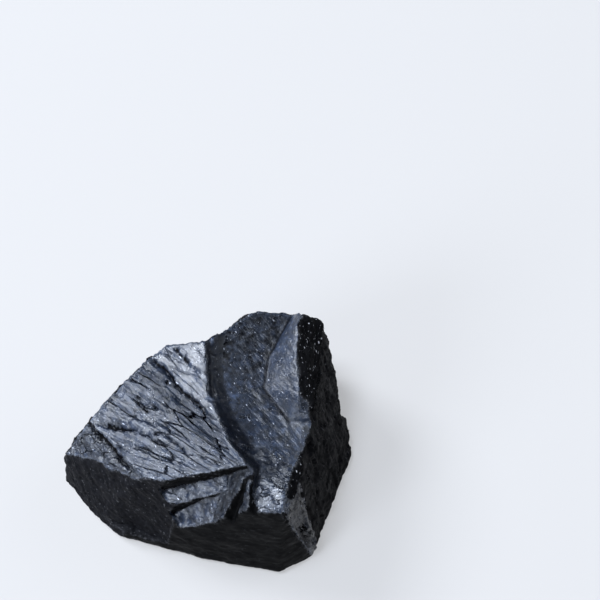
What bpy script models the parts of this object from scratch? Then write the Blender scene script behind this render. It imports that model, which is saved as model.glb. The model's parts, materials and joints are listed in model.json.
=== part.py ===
"""One rough, broken chunk of opaque black stone, lying on its flat side.

The block is the convex solid around the corners where its broken faces meet. Chips, each bounded by flat
faces, and one shell-shaped bowl are taken out of it. The result gets a fine skin of its own, which the
flutes, lumps and pits then push in and out, and which is thinned where the stone is smooth.
"""

import math

import bmesh
import bpy
from mathutils import Vector, noise
from mathutils.bvhtree import BVHTree

# All sizes are in millimetres, in the stone's own frame: +X right, +Y back, +Z up, seat at z = 0.
MM = 0.001

# The foot of the stone, anticlockwise from its left end, and the flat seat inside it.
FOOT = [(-43.1, -8.6), (-40.0, -11.5), (-36.3, -16.4), (-31.3, -21.5), (-25.8, -25.6), (-12.9, -28.8),
        (-3.1, -31.7), (6.5, -33.7), (19.4, -35.9), (28.7, -31.4), (40.3, -0.6), (39.3, 8.0),
        (37.2, 17.5), (34.2, 27.0), (28.0, 33.5), (9.0, 34.0), (-15.0, 26.0), (-33.0, 12.0), (-42.5, -2.0)]
FOOT_Z = 1.6
SEAT_INSET = 0.965

# Corners of the broken faces above the foot.
SLOPE = [(-33.1, -1.9, 28.8), (-23.1, 8.4, 33.3), (-12.4, 16.8, 38.0), (4.6, 20.2, 44.8),
         (-17.8, -20.1, 33.6), (-11.1, -22.7, 36.0), (13.4, -21.8, 45.6)]
LEFT_END = [(-41.0, -6.4, 17.0), (-38.7, -4.7, 20.0), (-31.2, -11.8, 24.8)]
FRONT = [(-9.1, -26.4, 36.6), (14.5, -29.7, 45.5), (20.6, -31.6, 36.5), (23.7, -26.7, 35.0),
         (25.5, -30.3, 13.0)]
BACK = [(12.8, 27.3, 40.0), (19.4, 27.0, 40.0), (26.4, 24.6, 42.0), (31.4, 25.0, 37.0)]
RIM = [(24.7, 21.0, 43.5), (23.9, 9.6, 43.0), (25.3, -0.3, 42.0), (27.9, -6.2, 39.0),
       (28.3, 22.3, 41.0), (29.7, 15.5, 38.5), (30.5, 8.3, 37.0), (28.8, 0.5, 36.5)]

FAN_DIRECTION = (-144.0, 53.0)      # where the fan of ridges under the slope's tip faces, and its lean

# Each chip: the broken faces that bound it, as (a point on the face, where it faces, how far it leans).
# Facing is in degrees from +X towards +Y. Lean is 0 for a level top, 90 for an upright wall.
CHIPS = {
    "left_face": [((-12.9, -28.2, 1.5), -110.5, 79.5), ((-33.0, -20.1, 4.5), 70.0, 12.0),
                  ((-12.6, -28.4, 2.0), 162.5, 81.0)],
    "left_step": [((-31.0, -7.0, 27.6), -150.0, 46.0), ((-32.0, -3.2, 28.9), -143.0, 66.0)],
    "back_left": [((-0.5, 16.0, 42.5), 90.0, 77.0), ((-0.5, 16.0, 42.5), 129.0, 75.0)],
    "ledge_upper": [((-3.9, -21.5, 32.1), -123.0, 44.0), ((-11.1, -22.4, 36.0), -85.0, 96.0),
                    ((-11.9, -22.0, 33.6), 24.7, 87.0), ((6.8, -26.3, 34.2), *FAN_DIRECTION)],
    "ledge_lower": [((-4.1, -24.2, 22.2), -160.0, 38.0), ((-9.6, -25.5, 25.8), -80.6, 99.0),
                    ((-11.9, -22.0, 33.6), 24.7, 87.0), ((6.8, -26.3, 34.2), *FAN_DIRECTION)],
    "shelf": [((17.3, -26.5, 37.6), -110.0, 12.0), ((13.4, -21.8, 45.6), -8.7, 84.0),
              ((20.0, -20.6, 39.0), -98.0, 60.0)],
    "throat": [((16.0, -16.0, 38.7), -100.0, 4.0), ((6.1, -12.9, 43.3), 39.4, 62.0),
               ((6.1, -12.9, 43.3), -50.6, 35.0)],
    "back_ledge": [((-17.7, 12.7, 35.6), 127.0, 85.0), ((-25.0, 17.0, 11.0), 140.0, 33.0),
                   ((-12.0, 19.0, 20.0), 212.0, 60.0)],
    "back_hollow": [((14.0, 31.8, 22.0), 86.0, 98.0), ((-2.0, 30.0, 10.0), 20.0, 80.0)],
    "right_hollow": [((35.2, 16.0, 20.0), 14.0, 95.0), ((37.0, 9.0, 6.0), 100.0, 72.0)],
    "brow": [((0.0, 9.0, 40.1), -170.9, 21.5), ((0.0, 9.0, 42.3), 3.6, 50.0),
             ((0.9, -0.5, 42.0), 60.0, 70.0)],
}
CHIP_REACH = 160.0

# The bowl is a shallow turned dish, given as (reach from its axis, height).
BOWL_AXIS = (45.2, 12.0)
BOWL_PROFILE = [(0.0, 37.0), (20.0, 37.4), (32.0, 37.8), (38.0, 38.5), (41.2, 39.4), (43.6, 40.9),
                (45.4, 42.9), (46.4, 45.5), (47.2, 52.0)]
BOWL_STEPS = 96
BOWL_CALM_REACH = 42.4  # nearer its axis than this it is smooth
BOWL_FRONT_Y = -20.0
BOWL_LOWEST_Z = 36.5
BOWL_STEEPEST = 0.45    # least upward share of a face that counts as its inside
BOWL_SMOOTHING = 8      # passes that round off the creases inside it

# The two-sided hump that the bowl leaves standing under its right rim: its foot, then its crest.
HUMP_FOOT = [(22.5, 26.0), (16.3, 12.8), (15.3, 3.7), (22.0, -6.0)]
HUMP_FOOT_Z = 37.4
HUMP_CREST = [(24.7, 21.0, 43.5), (23.9, 9.6, 43.0), (25.3, -0.3, 42.0), (27.9, -6.2, 39.0),
              (27.0, 28.0, 43.0)]
HUMP_OUTSIDE_X = 60.0

# Grooves that fan out from the tip of the slope: where each ends, as (x, y, z), its width and depth there.
FAN_TIP = (13.1, -21.6, 44.6)
FAN_GROOVES = [((8.1, -28.4, 33.9), 3.2, 2.4), ((12.8, -28.4, 39.0), 1.8, 1.8),
               ((4.2, -28.7, 29.6), 1.5, 0.9)]
FAN_LIFT = 4.0          # how far the groove's cutter stands above the face
FAN_OVERRUN = 5.0       # how far each groove runs past its end

# The skin, and the relief that is pushed into it.
SKIN_CELL = 0.6
TRIANGLES = 9200
SEAT_SNAP = 0.05        # what is this close to the seat lies in it
CALM_Z = 3.0            # the relief dies out over this height above the seat
SLOPE_DIRECTION = (-170.9, 21.5)    # where the fluted slope faces, and its lean
SLOPE_MATCH = 0.985     # a face this well aligned with it belongs to it
FLUTE_ORIGIN = (38.0, -46.0)        # the flutes spread out from above this point
FLUTE_REACH = 62.0      # this far from there they have their pitch
FLUTE_PITCH = 3.4
FLUTE_LENGTH = 30.0
FLUTE_HEIGHT = 0.55
FLUTE_BEND = 0.7
LUMP_SIZE = 9.0
LUMP_HEIGHT = 0.45
PIT_SIZE = 3.6
PIT_HEIGHT = 0.28

STONE_COLOUR = (0.018, 0.020, 0.026, 1.0)
STONE_ROUGHNESS = 0.34


def clear_scene():
    for thing in list(bpy.data.objects):
        bpy.data.objects.remove(thing)


def add_object(name, shape):
    bmesh.ops.recalc_face_normals(shape, faces=shape.faces)
    mesh = bpy.data.meshes.new(name)
    shape.to_mesh(mesh)
    shape.free()
    thing = bpy.data.objects.new(name, mesh)
    bpy.context.collection.objects.link(thing)
    return thing


def hull(name, points):
    """The convex solid around the points."""
    shape = bmesh.new()
    for point in points:
        shape.verts.new(point)
    result = bmesh.ops.convex_hull(shape, input=shape.verts)
    inside = [item for item in result["geom_interior"] if isinstance(item, bmesh.types.BMVert)]
    bmesh.ops.delete(shape, geom=inside, context="VERTS")
    return add_object(name, shape)


def outward(facing, lean):
    turn = math.radians(facing)
    tilt = math.radians(lean)
    return Vector((math.sin(tilt) * math.cos(turn), math.sin(tilt) * math.sin(turn), math.cos(tilt)))


def chip(name, faces):
    """The space outside all the given broken faces, out to a box around the stone."""
    shape = bmesh.new()
    bmesh.ops.create_cube(shape, size=CHIP_REACH)
    for point, facing, lean in faces:
        everything = list(shape.verts) + list(shape.edges) + list(shape.faces)
        result = bmesh.ops.bisect_plane(shape, geom=everything, plane_co=point,
                                        plane_no=outward(facing, lean), clear_inner=True)
        rim = [item for item in result["geom_cut"] if isinstance(item, bmesh.types.BMEdge)]
        bmesh.ops.contextual_create(shape, geom=rim)
    return add_object(name, shape)


def bowl():
    """The shell-shaped hollow, less the hump that stays standing in it."""
    shape = bmesh.new()
    rings = []
    top = BOWL_PROFILE[-1][1]
    for reach, height in BOWL_PROFILE + [(0.0, top)]:
        count = BOWL_STEPS if reach else 1
        ring = []
        for step in range(count):
            angle = 2 * math.pi * step / BOWL_STEPS
            ring.append(shape.verts.new((BOWL_AXIS[0] + reach * math.cos(angle),
                                         BOWL_AXIS[1] + reach * math.sin(angle), height)))
        rings.append(ring)
    for lower, upper in zip(rings, rings[1:]):
        for step in range(BOWL_STEPS):
            after = (step + 1) % BOWL_STEPS
            corners = [lower[step % len(lower)], lower[after % len(lower)],
                       upper[after % len(upper)], upper[step % len(upper)]]
            shape.faces.new(dict.fromkeys(corners))
    return add_object("bowl", shape)


def hump():
    low = HUMP_FOOT_Z - 15.0
    crest = list(HUMP_CREST)
    far = [(HUMP_OUTSIDE_X, 30.0, 46.0), (HUMP_OUTSIDE_X, -10.0, 40.0),
           (HUMP_OUTSIDE_X, 30.0, low), (HUMP_OUTSIDE_X, -10.0, low)]
    foot = [(x, y, HUMP_FOOT_Z) for x, y in HUMP_FOOT] + [(x, y, low) for x, y in HUMP_FOOT]
    return hull("hump", crest + far + foot)


def fan_groove(number, end, width, depth):
    """A V-shaped groove that widens and deepens from the tip of the slope down to the front face."""
    tip = Vector(FAN_TIP)
    run = Vector(end) - tip
    along = run.normalized()
    out = outward(*FAN_DIRECTION)
    grown = 1 + FAN_OVERRUN / run.length
    beyond = tip + run * grown
    across = along.cross(out).normalized() * width / 2 * (grown + FAN_LIFT / depth)
    points = [tip - out * 0.1, tip + out * FAN_LIFT, beyond - out * depth * grown,
              beyond + across + out * FAN_LIFT, beyond - across + out * FAN_LIFT]
    return hull(f"fan_groove_{number}", points)


def cut(target, cutter):
    """Takes the cutter out of the target and keeps it hidden."""
    step = target.modifiers.new(cutter.name, "BOOLEAN")
    step.operation = "DIFFERENCE"
    step.solver = "EXACT"
    step.object = cutter
    cutter.hide_render = True
    cutter.display_type = "WIRE"


def block():
    foot = [(x, y, FOOT_Z) for x, y in FOOT]
    seat = [(x * SEAT_INSET, y * SEAT_INSET, 0.0) for x, y in FOOT]
    return hull("block", foot + seat + SLOPE + LEFT_END + FRONT + BACK + RIM)


def broken_block():
    stone = block()
    for name, faces in CHIPS.items():
        cut(stone, chip(name, faces))
    hollow = bowl()
    cut(hollow, hump())
    cut(stone, hollow)
    for number, (end, width, depth) in enumerate(FAN_GROOVES):
        cut(stone, fan_groove(number, end, width, depth))
    return stone


def evaluated_mesh(thing):
    graph = bpy.context.evaluated_depsgraph_get()
    return bpy.data.meshes.new_from_object(thing.evaluated_get(graph), depsgraph=graph)


def wave(point, size, seed):
    """Soft noise between -1 and 1 that repeats over about twice the size."""
    return noise.noise(point / size * 1.6 + Vector((seed, seed * 0.37, -seed)))


def flutes(point):
    """Long ridges that spread from one corner over the big slope."""
    away = Vector((point.x - FLUTE_ORIGIN[0], point.y - FLUTE_ORIGIN[1]))
    reach = away.length
    angle = math.atan2(away.y, away.x)
    across = angle * FLUTE_REACH / FLUTE_PITCH
    bend = FLUTE_BEND * noise.noise(Vector((2 * reach / FLUTE_LENGTH, across / 5, 3.0)))
    sample = Vector((across + bend, reach / FLUTE_LENGTH, 7.0))
    return noise.noise(sample) + 0.5 * noise.noise(sample * 2)


def in_bowl(point, facing):
    """True inside the bowl, clear of its upper edge."""
    reach = math.hypot(point.x - BOWL_AXIS[0], point.y - BOWL_AXIS[1])
    return (reach < BOWL_CALM_REACH and point.y > BOWL_FRONT_Y and point.z > BOWL_LOWEST_Z
            and facing.z > BOWL_STEEPEST)


def relief(point, facing):
    """How far the skin stands out at a point whose broken face has the given outward direction."""
    lumps = LUMP_HEIGHT * wave(point, LUMP_SIZE, 1.0)
    pits = PIT_HEIGHT * wave(point, PIT_SIZE, 5.0)
    if facing.dot(outward(*SLOPE_DIRECTION)) > SLOPE_MATCH:
        return 0.6 * lumps + 0.4 * pits + FLUTE_HEIGHT * flutes(point)
    if in_bowl(point, facing):
        return 0.35 * lumps + 0.25 * pits
    return lumps + pits


def skinned(stone):
    """The stone with a fine, even skin that carries the relief."""
    plain = evaluated_mesh(stone)
    faces = BVHTree.FromPolygons([corner.co for corner in plain.vertices],
                                 [face.vertices for face in plain.polygons])
    skin = stone.modifiers.new("skin", "REMESH")
    skin.mode = "VOXEL"
    skin.voxel_size = SKIN_CELL
    shape = bmesh.new()
    shape.from_mesh(evaluated_mesh(stone))
    inside = [corner for corner in shape.verts if in_bowl(corner.co, faces.find_nearest(corner.co)[1])]
    for _ in range(BOWL_SMOOTHING):
        bmesh.ops.smooth_vert(shape, verts=inside, factor=0.5,
                              use_axis_x=True, use_axis_y=True, use_axis_z=True)
    shape.normal_update()
    pushes = []
    for corner in shape.verts:
        facing = faces.find_nearest(corner.co)[1]
        calm = min(1.0, max(0.0, corner.co.z / CALM_Z))
        pushes.append(corner.normal * relief(corner.co, facing) * calm * calm * (3 - 2 * calm))
    for corner, push in zip(shape.verts, pushes):
        corner.co += push
        if corner.co.z < SEAT_SNAP:
            corner.co.z = 0.0
    return add_object("agate", shape)


def thinned(stone):
    """Fewer triangles where the skin is smooth, and one flat seat."""
    count = sum(len(face.vertices) - 2 for face in stone.data.polygons)
    step = stone.modifiers.new("thinning", "DECIMATE")
    step.ratio = TRIANGLES / count
    shape = bmesh.new()
    shape.from_mesh(evaluated_mesh(stone))
    seat = [face for face in shape.faces if all(corner.co.z < SEAT_SNAP for corner in face.verts)]
    for face in seat:
        for corner in face.verts:
            corner.co.z = 0.0
    bmesh.ops.dissolve_faces(shape, faces=seat, use_verts=True)
    return add_object("agate", shape)


def centred(stone):
    """Puts the middle of the stone's seat box on the origin, in metres."""
    corners = [corner.co.copy() for corner in stone.data.vertices]
    middle = [(min(c[axis] for c in corners) + max(c[axis] for c in corners)) / 2 for axis in range(2)]
    for corner in stone.data.vertices:
        corner.co = (corner.co - Vector((middle[0], middle[1], 0.0))) * MM


def black_stone():
    material = bpy.data.materials.new("black_stone")
    material.use_nodes = True
    shader = material.node_tree.nodes["Principled BSDF"]
    shader.inputs["Base Color"].default_value = STONE_COLOUR
    shader.inputs["Roughness"].default_value = STONE_ROUGHNESS
    shader.inputs["Metallic"].default_value = 0.0
    return material


def keep_only(kept):
    for thing in list(bpy.data.objects):
        if thing is not kept:
            bpy.data.objects.remove(thing)


def main():
    clear_scene()
    stone = thinned(skinned(broken_block()))
    keep_only(stone)
    stone.name = "agate"
    centred(stone)
    stone.data.materials.append(black_stone())


main()
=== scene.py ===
import json
import math

import bmesh
import bpy
import numpy as np
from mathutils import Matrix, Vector, noise
from mathutils.bvhtree import BVHTree
from mathutils.kdtree import KDTree

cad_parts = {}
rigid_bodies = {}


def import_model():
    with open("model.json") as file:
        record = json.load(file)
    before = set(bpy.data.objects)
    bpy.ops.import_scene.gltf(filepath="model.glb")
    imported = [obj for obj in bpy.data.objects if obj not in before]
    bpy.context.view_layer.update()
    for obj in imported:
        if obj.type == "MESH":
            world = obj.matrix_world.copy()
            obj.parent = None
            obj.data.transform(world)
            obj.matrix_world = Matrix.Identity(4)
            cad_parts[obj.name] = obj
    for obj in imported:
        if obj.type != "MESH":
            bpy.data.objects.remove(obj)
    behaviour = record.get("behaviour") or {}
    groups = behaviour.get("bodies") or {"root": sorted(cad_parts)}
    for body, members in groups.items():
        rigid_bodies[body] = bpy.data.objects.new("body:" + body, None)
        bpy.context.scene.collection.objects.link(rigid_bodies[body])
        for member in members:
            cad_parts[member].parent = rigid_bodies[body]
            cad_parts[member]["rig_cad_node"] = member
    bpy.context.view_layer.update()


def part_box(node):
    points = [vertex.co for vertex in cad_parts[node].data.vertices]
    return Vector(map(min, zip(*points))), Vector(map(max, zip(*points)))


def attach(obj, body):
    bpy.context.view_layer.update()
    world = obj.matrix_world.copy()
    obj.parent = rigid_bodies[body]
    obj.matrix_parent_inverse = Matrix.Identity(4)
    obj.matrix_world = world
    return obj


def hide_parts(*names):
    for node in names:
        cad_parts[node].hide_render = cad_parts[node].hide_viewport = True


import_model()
print("frame loaded")

# The stone is shaped in millimetres, +X right, +Y back, +Z up, and set in metres at the end.
metresPerMm = 0.001

# What each kind of broken face is like. The grain runs one way, and its marks are so many times drawn out.
# Ridge, plate and lump say how strongly its relief stands out. The finish has slivers where there are plates
# and streaks where there are ridges, unless their own weights are given. Warp is how wavy its edges are, and
# worn how pale they are. Silky is 1 for the silky finish and 0 for the dull one, which is rougher and, as
# painted shade, darker and far less glossy. Tone is how light it is, fleck and dash how strongly its painted
# glints show, shade how far painted shade darkens it, and streaky how much of it dark streaks cover. What
# isn't given is 1, but 0 for shade and streaky.
zones = {
    "seat": {"grain": (1, 0, 0), "drawn": 1.0, "ridge": 0.0, "plate": 0.0, "lump": 0.2, "silky": 0},
    "slope": {"grain": (1, 0, 0), "drawn": 6.0, "ridge": 1.0, "plate": 1.0, "lump": 0.5, "silky": 1,
              "warp": 0.45},
    "leftFacet": {"grain": (0.8, -0.6, 0), "drawn": 3.0, "ridge": 0.9, "plate": 1.0, "lump": 0.6, "silky": 1,
                  "tone": 0.7},
    "bowl": {"grain": (0.6, -0.8, 0), "drawn": 4.0, "ridge": 0.03, "plate": 0.02, "lump": 0.02, "silky": 1,
             "tone": 0.70, "warp": 0.08, "streak": 0.45, "sliver": 0.20, "fleck": 0.6, "dash": 0.8,
             "shade": 0.26},
    # painted shade: the bowl's wall is darkened by its high shade
    "wall": {"grain": (0.6, -0.8, 0), "drawn": 3.0, "ridge": 0.15, "plate": 0.0, "lump": 0.1, "silky": 1,
             "tone": 0.6, "warp": 0.5, "worn": 0.1, "fleck": 0.4, "shade": 0.72},
    # pale by its high tone, partly as worn chips and partly as a painted highlight
    "brow": {"grain": (0.6, -0.8, 0), "drawn": 3.0, "ridge": 0.3, "plate": 0.1, "lump": 0.1, "silky": 1,
             "tone": 4.0, "worn": 1.0, "fleck": 0.9},
    "hump": {"grain": (0.7, -0.7, 0), "drawn": 3.5, "ridge": 0.20, "plate": 0.03, "lump": 0.05, "silky": 1,
             "tone": 1.5, "warp": 0.10, "streak": 0.50, "sliver": 0.20, "worn": 0.2, "fleck": 0.3,
             "shade": 0.40},
    "ledge": {"grain": (0.8, -0.6, -0.2), "drawn": 3.5, "ridge": 0.7, "plate": 0.55, "lump": 0.4,
              "silky": 1},
    "shelf": {"grain": (1, 0, 0), "drawn": 1.0, "ridge": 0.03, "plate": 0.60, "lump": 0.1, "silky": 1,
              "sliver": 0.03, "warp": 0.4, "worn": 0.4},
    "throat": {"grain": (0.9, -0.4, 0), "drawn": 2.5, "ridge": 0.3, "plate": 0.35, "lump": 0.4, "silky": 1,
               "tone": 0.9, "shade": 0.62},
    "riser": {"grain": (0.9, -0.4, 0), "drawn": 4.0, "ridge": 0.5, "plate": 0.2, "lump": 0.4, "silky": 0,
              "tone": 0.4, "worn": 0.4, "fleck": 0.5, "dash": 0.5},
    "tipWall": {"grain": (0.1, -0.4, -0.9), "drawn": 3.5, "ridge": 0.4, "plate": 0.2, "lump": 0.3,
                "silky": 1, "tone": 0.6, "worn": 0.5, "shade": 0.5},
    "fan": {"grain": (-0.3, -0.4, -0.85), "drawn": 5.0, "ridge": 1.0, "plate": 0.1, "lump": 0.2, "silky": 1,
            "tone": 0.75, "worn": 0.25, "fleck": 0.5, "streaky": 0.55, "shade": 0.62},
    # painted shade: inside a deep groove the stone is dark, with the dull finish and a low tone
    "groove": {"grain": (-0.3, -0.4, -0.85), "drawn": 5.0, "ridge": 0.3, "plate": 0.0, "lump": 0.1,
               "silky": 0, "tone": 0.3, "worn": 0.0, "fleck": 0.0, "dash": 0.0},
    "rim": {"grain": (0.2, -0.9, 0), "drawn": 3.0, "ridge": 1.0, "plate": 0.8, "lump": 0.8, "silky": 0,
            "tone": 0.6, "worn": 0.3},
    "front": {"grain": (0.98, -0.2, 0.05), "drawn": 5.0, "ridge": 0.12, "plate": 0.06, "lump": 0.6,
              "silky": 0, "tone": 0.35, "warp": 0.6, "worn": 0.3, "fleck": 0.55, "dash": 0.05},
    "leftSide": {"grain": (0.5, -0.3, -0.8), "drawn": 3.0, "ridge": 0.5, "plate": 0.5, "lump": 0.7,
                 "silky": 0, "tone": 1.8, "worn": 0.2, "fleck": 0.6, "dash": 0.2},
    "rightSide": {"grain": (0.15, -0.1, -1), "drawn": 5.0, "ridge": 1.1, "plate": 0.8, "lump": 0.8,
                  "silky": 0, "tone": 1.1, "worn": 0.15, "fleck": 0.35, "dash": 0.16},
    "glint": {"grain": (0.15, -0.1, -1), "drawn": 6.0, "ridge": 1.6, "plate": 1.2, "lump": 0.8, "silky": 1,
              "tone": 0.5, "streaky": 0.50, "shade": 0.30},
    "back": {"grain": (0.5, 0.0, -0.8), "drawn": 3.0, "ridge": 1.0, "plate": 1.0, "lump": 1.0, "silky": 0,
             "tone": 2.4, "worn": 0.12, "fleck": 0.2, "dash": 0.25},
}
zoneNames = list(zones)
zoneLayer = "zone"


def addShape(name, shape):
    bmesh.ops.recalc_face_normals(shape, faces=shape.faces)
    mesh = bpy.data.meshes.new(name)
    shape.to_mesh(mesh)
    shape.free()
    thing = bpy.data.objects.new(name, mesh)
    bpy.context.collection.objects.link(thing)
    return thing


def setZone(thing, pick):
    # pick turns a face into the name of its zone
    layer = thing.data.attributes.new(zoneLayer, "INT", "FACE")
    layer.data.foreach_set("value", [zoneNames.index(pick(face)) for face in thing.data.polygons])
    return thing


def hullOf(name, points):
    shape = bmesh.new()
    for point in points:
        shape.verts.new(point)
    result = bmesh.ops.convex_hull(shape, input=shape.verts)
    inside = [item for item in result["geom_interior"] if isinstance(item, bmesh.types.BMVert)]
    bmesh.ops.delete(shape, geom=inside, context="VERTS")
    return addShape(name, shape)


def outward(facing, lean):
    turn = math.radians(facing)
    tilt = math.radians(lean)
    return Vector((math.sin(tilt) * math.cos(turn), math.sin(tilt) * math.sin(turn), math.cos(tilt)))


rimLine = [(24.7, 21.0, 43.5), (23.9, 9.6, 43.0), (25.3, -0.3, 42.0), (27.9, -6.2, 39.0)]
block = {
    "foot": [(-43.1, -8.6), (-40.0, -11.5), (-36.3, -16.4), (-31.3, -21.5), (-25.8, -25.6), (-12.9, -28.8),
             (-3.1, -31.7), (6.5, -33.7), (19.4, -35.9), (28.7, -31.4), (40.3, -0.6), (39.3, 8.0),
             (37.2, 17.5), (34.2, 27.0), (28.0, 33.5), (9.0, 34.0), (-15.0, 26.0), (-33.0, 12.0),
             (-42.5, -2.0)],        # anticlockwise from the left end
    "footHeight": 1.6,
    "seatInset": 0.965,
    "slope": [(-33.1, -1.9, 28.8), (-23.1, 8.4, 33.3), (-12.4, 16.8, 38.0), (4.6, 20.2, 44.8),
              (-17.8, -20.1, 33.6), (-11.1, -22.7, 36.0), (13.4, -21.8, 45.6)],
    "leftEnd": [(-41.0, -6.4, 17.0), (-38.7, -4.7, 20.0), (-31.2, -11.8, 24.8)],
    "front": [(-9.1, -26.4, 36.6), (14.5, -29.7, 45.5), (20.6, -31.6, 36.5), (23.7, -26.7, 35.0),
              (25.5, -30.3, 13.0)],
    "back": [(12.8, 27.3, 40.0), (19.4, 27.0, 40.0), (26.4, 24.6, 42.0), (31.4, 25.0, 37.0)],
    "rim": [*rimLine, (28.3, 22.3, 41.0), (29.7, 15.5, 38.5), (30.5, 8.3, 37.0), (28.8, 0.5, 36.5)],
    "slopeFacing": (-170.9, 21.5),      # where the big fluted slope faces in plan, and its lean
    "slopeAlike": 0.985,                # a face that agrees with it this well is the slope
    "seatBelow": -0.5,                  # the other faces go by how far they face up, back and right
    "topAbove": 0.45,
    "backAbove": 0.45,
    "rightAbove": 0.5,
    "leftBelow": -0.55,
    "rimFromX": 20.0,
    "glintEdge": [(23.7, -26.7, 35.0), (25.5, -30.3, 13.0), (28.7, -31.4, 1.6)],
    "glintSteps": 40,
    "glintReach": 4.0,                  # the right side shines this near that edge
    "glintRagged": 3.0,                 # give or take up to this
    "glintSize": 2.0, "glintDrawn": 4.0,        # its teeth are this wide, and so many times longer
    "browFrontY": 15.8,                 # in front of this the brow is darkened as painted shade, like the bowl's wall
}


def blockZone(face):
    slopeNormal = outward(*block["slopeFacing"])
    if face.normal.z < block["seatBelow"]:
        return "seat"
    if face.normal.dot(slopeNormal) > block["slopeAlike"]:
        return "slope"
    if face.normal.z > block["topAbove"]:
        return "rim" if face.center.x > block["rimFromX"] else "leftFacet"
    if face.normal.y > block["backAbove"]:
        return "back"
    if face.normal.x > block["rightAbove"]:
        return "rightSide"
    if face.normal.x < block["leftBelow"]:
        return "leftSide"
    return "front"


def wholeBlock():
    foot = [(x, y, block["footHeight"]) for x, y in block["foot"]]
    seat = [(x * block["seatInset"], y * block["seatInset"], 0.0) for x, y in block["foot"]]
    corners = foot + seat + block["slope"] + block["leftEnd"] + block["front"] + block["back"] + block["rim"]
    return setZone(hullOf("block", corners), blockZone)


# Each chip: the broken faces that bound it, as (zone, a point on it, where it faces, its lean).
# Facing is in degrees from +X towards +Y. Lean is 0 for a level top, 90 for an upright wall.
fanFacing = (-144.0, 53.0)      # of the face that the grooves fan out on
chips = {
    "leftFace": [("leftSide", (-12.9, -28.2, 1.5), -110.5, 79.5),
                 ("leftSide", (-33.0, -20.1, 4.5), 70.0, 12.0),
                 ("leftSide", (-12.6, -28.4, 2.0), 162.5, 81.0)],
    "leftStep": [("leftFacet", (-31.0, -7.0, 27.6), -150.0, 46.0),
                 ("riser", (-32.0, -3.2, 28.9), -143.0, 66.0)],
    "backLeft": [("back", (-0.5, 16.0, 42.5), 90.0, 77.0), ("back", (-0.5, 16.0, 42.5), 129.0, 75.0)],
    "ledgeUpper": [("ledge", (-3.9, -21.5, 32.1), -123.0, 44.0),
                   ("riser", (-11.1, -22.4, 36.0), -85.0, 96.0),
                   ("ledge", (-11.9, -22.0, 33.6), 24.7, 87.0), ("fan", (6.8, -26.3, 34.2), *fanFacing)],
    "ledgeLower": [("ledge", (-4.1, -24.2, 22.2), -160.0, 38.0), ("riser", (-9.6, -25.5, 25.8), -80.6, 99.0),
                   ("ledge", (-11.9, -22.0, 33.6), 24.7, 87.0), ("fan", (6.8, -26.3, 34.2), *fanFacing)],
    "shelf": [("shelf", (17.3, -26.5, 37.6), -110.0, 12.0), ("tipWall", (13.4, -21.8, 45.6), -8.7, 84.0),
              ("shelf", (20.0, -20.6, 39.0), -98.0, 60.0)],
    "throat": [("throat", (16.0, -16.0, 38.7), -100.0, 4.0), ("wall", (6.1, -12.9, 43.3), 39.4, 62.0),
               ("throat", (6.1, -12.9, 43.3), -50.6, 35.0)],
    "backLedge": [("back", (-17.7, 12.7, 35.6), 127.0, 85.0), ("back", (-25.0, 17.0, 11.0), 140.0, 33.0),
                  ("back", (-12.0, 19.0, 20.0), 212.0, 60.0)],
    "backHollow": [("back", (14.0, 31.8, 22.0), 86.0, 98.0), ("back", (-2.0, 30.0, 10.0), 20.0, 80.0)],
    "rightHollow": [("rightSide", (35.2, 16.0, 20.0), 14.0, 95.0),
                    ("rightSide", (37.0, 9.0, 6.0), 100.0, 72.0)],
    "brow": [("brow", (0.0, 9.0, 40.1), *block["slopeFacing"]), ("wall", (0.0, 9.0, 42.3), 3.6, 50.0),
             ("slope", (0.9, -0.5, 42.0), 60.0, 70.0)],
}
chipReach = 160.0


def chipShape(name, faces):
    shape = bmesh.new()
    bmesh.ops.create_cube(shape, size=chipReach)
    for _, point, facing, lean in faces:
        everything = list(shape.verts) + list(shape.edges) + list(shape.faces)
        result = bmesh.ops.bisect_plane(shape, geom=everything, plane_co=point,
                                        plane_no=outward(facing, lean), clear_inner=True)
        rim = [item for item in result["geom_cut"] if isinstance(item, bmesh.types.BMEdge)]
        bmesh.ops.contextual_create(shape, geom=rim)

    def ownZone(face):
        return min(faces, key=lambda broken: face.normal.dot(outward(*broken[2:])))[0]

    return setZone(addShape(name, shape), ownZone)


bowl = {
    "axis": (45.2, 12.0),
    "profile": [(0.0, 37.0), (20.0, 37.4), (32.0, 37.8), (38.0, 38.5), (41.2, 39.4), (43.6, 40.9),
                (45.4, 42.9), (46.4, 45.5), (47.2, 52.0)],      # (reach from the axis, height)
    "wallReach": 41.6,                          # the wall stands beyond this
    "steps": 96,
    "calmReach": 42.4, "frontY": -20.0, "lowestZ": 36.5, "steepest": 0.45,      # where it is rounded
    "smoothing": 8,
    "shadingFade": [(-11.0, 1.25), (26.0, 0.66)],      # (y, how light its painted shading makes it there: lighter in front, darker at the back)
    "shadeFade": [(-11.0, 0.5), (26.0, 2.1)],   # (y, how much it is shaded there)
    "stripReach": 40.2, "stripWidth": 1.6,      # a painted highlight: a lighter strip along the foot of its wall
    "stripY": 2.2, "stripLength": 8.0, "stripHighlight": 0.7,
    "mottle": [(2.2, 1.0), (0.9, 0.8)],         # (size, strength) of its lighter and darker patches
    "lightSpan": (0.2, 2.5), "shadeSpan": (0.0, 2.0),       # the least and most that they do
}


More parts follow.
